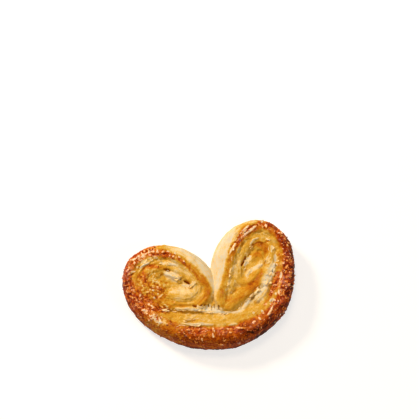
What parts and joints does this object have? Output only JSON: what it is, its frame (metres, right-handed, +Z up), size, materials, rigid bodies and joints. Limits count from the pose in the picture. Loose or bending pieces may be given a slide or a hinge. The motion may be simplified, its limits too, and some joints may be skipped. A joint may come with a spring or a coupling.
{
  "type": "palmier pastry",
  "caption": "Palmier: a flat heart-shaped puff pastry biscuit, its sheet rolled in from both ends, baked golden with a sugared crust.",
  "frame": {"origin": "middle of the footprint, on the flat underside that the pastry rests on", "axes": "+Z up out of the browned face, +X across both rolls from the lower roll to the taller one, +Y from the base towards the notch"},
  "size_m": [0.0794, 0.0598, 0.0158],
  "materials": {
    "baked_pastry": "satin"
  },
  "bodies": {
    "root": {"palmier": "baked_pastry"}
  },
  "joints": []
}
